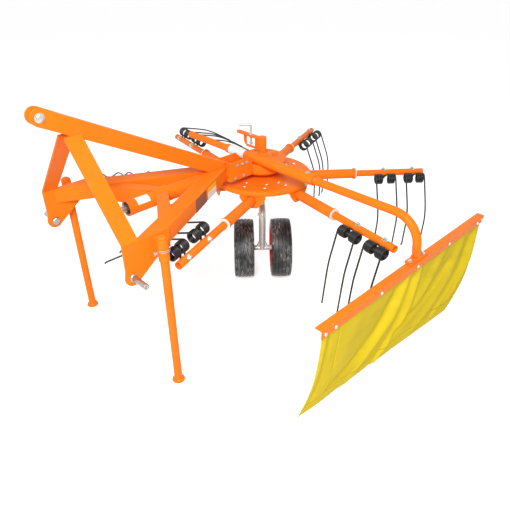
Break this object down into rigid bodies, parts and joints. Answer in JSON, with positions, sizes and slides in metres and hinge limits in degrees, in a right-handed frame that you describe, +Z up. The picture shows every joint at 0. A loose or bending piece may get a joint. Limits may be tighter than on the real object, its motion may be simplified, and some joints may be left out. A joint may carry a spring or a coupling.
{
  "type": "rotary hay rake",
  "caption": "Hitch-carried rotary hay rake: upright-axis rotor of spring-tine arms, A-frame and mast, twin caster wheels, stand legs and a side curtain on a sliding boom.",
  "frame": {"origin": "on the ground, under the middle of the machine's outer box", "axes": "+Z up, -Y towards the hitch and the direction of travel, +X to the machine's left, the side of the curtain"},
  "size_m": [2.1711, 2.3003, 1.3504],
  "materials": {
    "orange_paint": "glossy orange paint",
    "zinc_plate": "zinc plated",
    "bright_steel": "bare machined steel",
    "black_spring": "black coated spring steel",
    "tyre_rubber": "ribbed black rubber",
    "red_rim": "red painted pressed rim",
    "yellow_cloth": "coated yellow cloth"
  },
  "bodies": {
    "frame": {"gearbox": "orange_paint", "centre_post": "orange_paint", "lock_lever": "orange_paint", "lock_pin": "zinc_plate", "drive_tube": "orange_paint", "frame_beam_left": "orange_paint", "frame_beam_right": "orange_paint", "saddle_plate": "orange_paint", "gearbox_mount": "orange_paint", "hitch_cheek_left": "orange_paint", "hitch_cheek_right": "orange_paint", "hitch_pin_left": "bright_steel", "hitch_pin_right": "bright_steel", "mast_brace": "orange_paint", "top_link_pin": "zinc_plate", "mast_upright_left": "orange_paint", "mast_upright_right": "orange_paint", "boom_sleeve": "orange_paint", "stand_sleeve_left": "orange_paint", "stand_sleeve_right": "orange_paint", "stand_pin_left": "zinc_plate", "stand_pin_right": "zinc_plate"},
    "rotor": {"rotor_carrier": "orange_paint", "tine_arm_1": "black_spring", "tine_arm_2": "black_spring", "tine_arm_3": "black_spring", "tine_arm_4": "black_spring", "tine_arm_5": "black_spring", "tine_arm_6": "black_spring"},
    "input": {"input_shaft": "bright_steel"},
    "caster": {"caster_leg": "zinc_plate", "wheel_axle": "bright_steel"},
    "wheels": {"tyre_left": "tyre_rubber", "tyre_right": "tyre_rubber", "rim_left": "red_rim", "rim_right": "red_rim"},
    "boom": {"boom_tube": "orange_paint", "curtain_bar": "orange_paint", "curtain": "yellow_cloth"},
    "stand_left": {"stand_leg_left": "orange_paint"},
    "stand_right": {"stand_leg_right": "orange_paint"}
  },
  "joints": [
    {"name": "rotor_spin", "type": "hinge", "parent": "frame", "child": "rotor", "pos_m": [-0.058, 0.157, 0.641], "axis": [0, 0, 1], "continuous": true},
    {"name": "input_spin", "type": "hinge", "parent": "frame", "child": "input", "pos_m": [-0.058, -0.785, 0.785], "axis": [0, -1, 0], "continuous": true},
    {"name": "caster_swivel", "type": "hinge", "parent": "frame", "child": "caster", "pos_m": [-0.058, 0.157, 0.6], "axis": [0, 0, 1], "continuous": true},
    {"name": "wheels_spin", "type": "hinge", "parent": "caster", "child": "wheels", "pos_m": [-0.01892, 0.12119, 0.191], "axis": [0.6756, 0.7373, 0], "continuous": true},
    {"name": "boom_slide", "type": "slide", "parent": "frame", "child": "boom", "axis": [1, 0, 0], "range_m": [0, 0.25]},
    {"name": "stand_left_slide", "type": "slide", "parent": "frame", "child": "stand_left", "axis": [0, 0, 1], "range_m": [0, 0.35]},
    {"name": "stand_right_slide", "type": "slide", "parent": "frame", "child": "stand_right", "axis": [0, 0, 1], "range_m": [0, 0.35]}
  ],
  "couplings": [
    {"joint": "input_spin", "follows": "rotor_spin", "ratio": 7.2}
  ]
}
